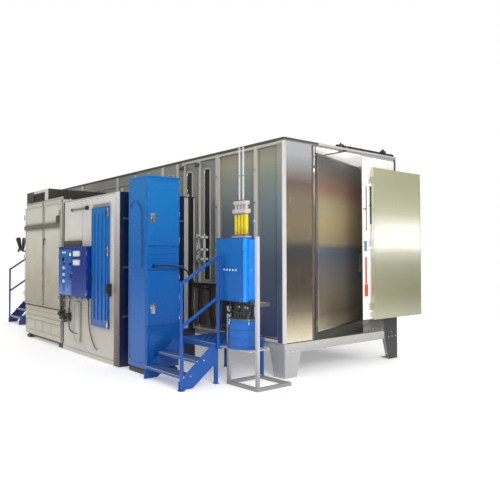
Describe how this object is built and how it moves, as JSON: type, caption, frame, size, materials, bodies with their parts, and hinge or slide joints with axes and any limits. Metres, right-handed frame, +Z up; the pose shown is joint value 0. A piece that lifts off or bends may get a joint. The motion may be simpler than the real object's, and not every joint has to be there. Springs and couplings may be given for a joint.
{
  "type": "powder spraying booth",
  "caption": "Walk-in stainless sandblast-type cabinet, really a conveyor-fed powder booth, with swing end doors, filter house, powder module, control boxes, gun lifts and blue stair.",
  "frame": {"origin": "middle of the machine's footprint, on the shop floor", "axes": "+X along the cabin towards its exit end, +Y from the operator side to the rear wall, +Z up"},
  "size_m": [8.59, 4.4506, 3.12],
  "materials": {
    "black_paint": "matt",
    "black_plastic": "matt",
    "bright_metal": "polished",
    "cabinet_blue": "semi-gloss powder coat",
    "control_modules": "matt",
    "dark_steel": "dark semi-matt",
    "filter_paper": "pleated",
    "grey_paint": "fine-textured powder coat",
    "light_paint": "semi-gloss",
    "motor_housing": "painted",
    "navy_blue": "semi-gloss powder coat",
    "post_alloy": "satin",
    "rubber": "matt",
    "stainless": "brushed sheet, satin",
    "stair_blue": "semi-gloss powder coat",
    "white_plastic": "satin",
    "yellow_hose": "satin"
  },
  "bodies": {
    "booth": {"base_sill_ring": "stainless", "control_box": "navy_blue", "control_cabinet": "cabinet_blue", "control_cabinet_plinth": "black_paint", "cyclone": "stainless", "entry_jamb_far": "stainless", "entry_jamb_near": "stainless", "entry_platform": "stair_blue", "exit_jamb_far": "stainless", "exit_jamb_near": "stainless", "fan_motor": "motor_housing", "filter_cartridge_bank": "filter_paper", "filter_house": "grey_paint", "floor_pan": "dark_steel", "front_post_frame": "post_alloy", "front_wall_end_bay": "stainless", "front_wall_rear_bay": "stainless", "gun_control_rack": "control_modules", "gun_slot_panel": "stainless", "gun_supply_hose": "rubber", "injector_block": "dark_steel", "inner_door_pin": "dark_steel", "leg_frame_1": "stainless", "leg_frame_2": "stainless", "leg_frame_3": "stainless", "leg_frame_4": "stainless", "near_handrail": "stair_blue", "near_platform": "stair_blue", "outer_door_stile": "post_alloy", "powder_drum": "cabinet_blue", "powder_module": "grey_paint", "powder_module_skid": "black_paint", "pump_box": "cabinet_blue", "rear_wall": "stainless", "riser_manifold": "yellow_hose", "roof_front": "stainless", "roof_rear": "stainless", "stand_frame": "light_paint"},
    "inner_door": {"inner_door_leaf": "stainless"},
    "outer_door": {"outer_door_leaf": "stainless"},
    "latch_bar": {"outer_door_latch_bar": "dark_steel"},
    "filter_door": {"filter_door": "cabinet_blue"},
    "filter_latch": {"filter_door_latch": "black_plastic"},
    "fan": {"fan_wheel": "stainless"},
    "module_door_left": {"powder_module_door_left": "grey_paint"},
    "module_door_right": {"powder_module_door_right": "grey_paint"},
    "module_latch": {"powder_module_latch": "dark_steel"},
    "cabinet_door_upper": {"cabinet_door_upper": "cabinet_blue"},
    "cabinet_door_lower": {"cabinet_door_lower": "cabinet_blue"},
    "handle_upper": {"cabinet_handle_upper": "bright_metal"},
    "handle_lower": {"cabinet_handle_lower": "bright_metal"},
    "gun_carriage_1": {"gun_carriage_1": "white_plastic"},
    "gun_carriage_2": {"gun_carriage_2": "white_plastic"},
    "pump_box_door": {"pump_box_door": "cabinet_blue"},
    "control_box_door": {"control_box_door": "navy_blue"},
    "start_button": {"start_button": "white_plastic"},
    "stop_button": {"stop_button": "white_plastic"},
    "reset_button": {"reset_button": "white_plastic"},
    "mode_switch": {"mode_switch": "black_plastic"}
  },
  "joints": [
    {"name": "inner_door_swing", "type": "hinge", "parent": "booth", "child": "inner_door", "pos_m": [3.97, -0.12975, 0.546], "axis": [0, 0, 1], "range_deg": [-16, 60]},
    {"name": "outer_door_swing", "type": "hinge", "parent": "booth", "child": "outer_door", "pos_m": [4.061, 0.97525, 0.643], "axis": [0, 0, 1], "range_deg": [-180, 0]},
    {"name": "latch_bar_turn", "type": "hinge", "parent": "booth", "child": "latch_bar", "pos_m": [4.012, 1.02525, 2.33], "axis": [1, 0, 0], "range_deg": [0, 90]},
    {"name": "filter_door_swing", "type": "hinge", "parent": "booth", "child": "filter_door", "pos_m": [1.769, -2.13975, 0.52], "axis": [0, 0, 1], "range_deg": [0, 110]},
    {"name": "filter_latch_turn", "type": "hinge", "parent": "filter_door", "child": "filter_latch", "pos_m": [1.255, -2.13425, 1.24], "axis": [0, 1, 0], "range_deg": [-90, 0]},
    {"name": "fan_spin", "type": "hinge", "parent": "booth", "child": "fan", "pos_m": [1.065, -1.60075, 2.235], "axis": [0, 0, 1], "continuous": true},
    {"name": "module_door_left_swing", "type": "hinge", "parent": "booth", "child": "module_door_left", "pos_m": [-1.725, -2.12875, 0.66], "axis": [0, 0, 1], "range_deg": [-90, 0]},
    {"name": "module_door_right_swing", "type": "hinge", "parent": "booth", "child": "module_door_right", "pos_m": [0.005, -2.12875, 0.66], "axis": [0, 0, 1], "range_deg": [0, 90]},
    {"name": "module_latch_turn", "type": "hinge", "parent": "module_door_right", "child": "module_latch", "pos_m": [-0.71, -2.12925, 1.87], "axis": [0, 1, 0], "range_deg": [0, 90]},
    {"name": "cabinet_door_upper_swing", "type": "hinge", "parent": "booth", "child": "cabinet_door_upper", "pos_m": [2.775, -1.56375, 1.72], "axis": [0, 0, 1], "range_deg": [0, 90]},
    {"name": "cabinet_door_lower_swing", "type": "hinge", "parent": "booth", "child": "cabinet_door_lower", "pos_m": [2.775, -1.56375, 0.66], "axis": [0, 0, 1], "range_deg": [0, 90]},
    {"name": "handle_upper_turn", "type": "hinge", "parent": "cabinet_door_upper", "child": "handle_upper", "pos_m": [2.7755, -1.98975, 2.1], "axis": [1, 0, 0], "range_deg": [0, 90]},
    {"name": "handle_lower_turn", "type": "hinge", "parent": "cabinet_door_lower", "child": "handle_lower", "pos_m": [2.7755, -1.98975, 0.9], "axis": [1, 0, 0], "range_deg": [0, 90]},
    {"name": "gun_carriage_1_lift", "type": "slide", "parent": "booth", "child": "gun_carriage_1", "axis": [0, 0, 1], "range_m": [-0.24, 0.95]},
    {"name": "gun_carriage_2_lift", "type": "slide", "parent": "booth", "child": "gun_carriage_2", "axis": [0, 0, 1], "range_m": [-0.24, 0.95]},
    {"name": "pump_box_door_swing", "type": "hinge", "parent": "booth", "child": "pump_box_door", "pos_m": [4.121, -1.34475, 1.03], "axis": [0, 0, 1], "range_deg": [0, 90]},
    {"name": "control_box_door_swing", "type": "hinge", "parent": "booth", "child": "control_box_door", "pos_m": [1.193, -2.20725, 0.92], "axis": [0, 0, 1], "range_deg": [0, 100]},
    {"name": "start_button_press", "type": "slide", "parent": "booth", "child": "start_button", "axis": [0, 1, 0], "range_m": [0, 0.006], "stiffness_N_per_m": 500},
    {"name": "stop_button_press", "type": "slide", "parent": "booth", "child": "stop_button", "axis": [0, 1, 0], "range_m": [0, 0.006], "stiffness_N_per_m": 500},
    {"name": "reset_button_press", "type": "slide", "parent": "booth", "child": "reset_button", "axis": [0, 1, 0], "range_m": [0, 0.006], "stiffness_N_per_m": 500},
    {"name": "mode_switch_turn", "type": "hinge", "parent": "booth", "child": "mode_switch", "pos_m": [0.305, -2.18525, 1.52], "axis": [0, 1, 0], "range_deg": [-45, 45]}
  ]
}
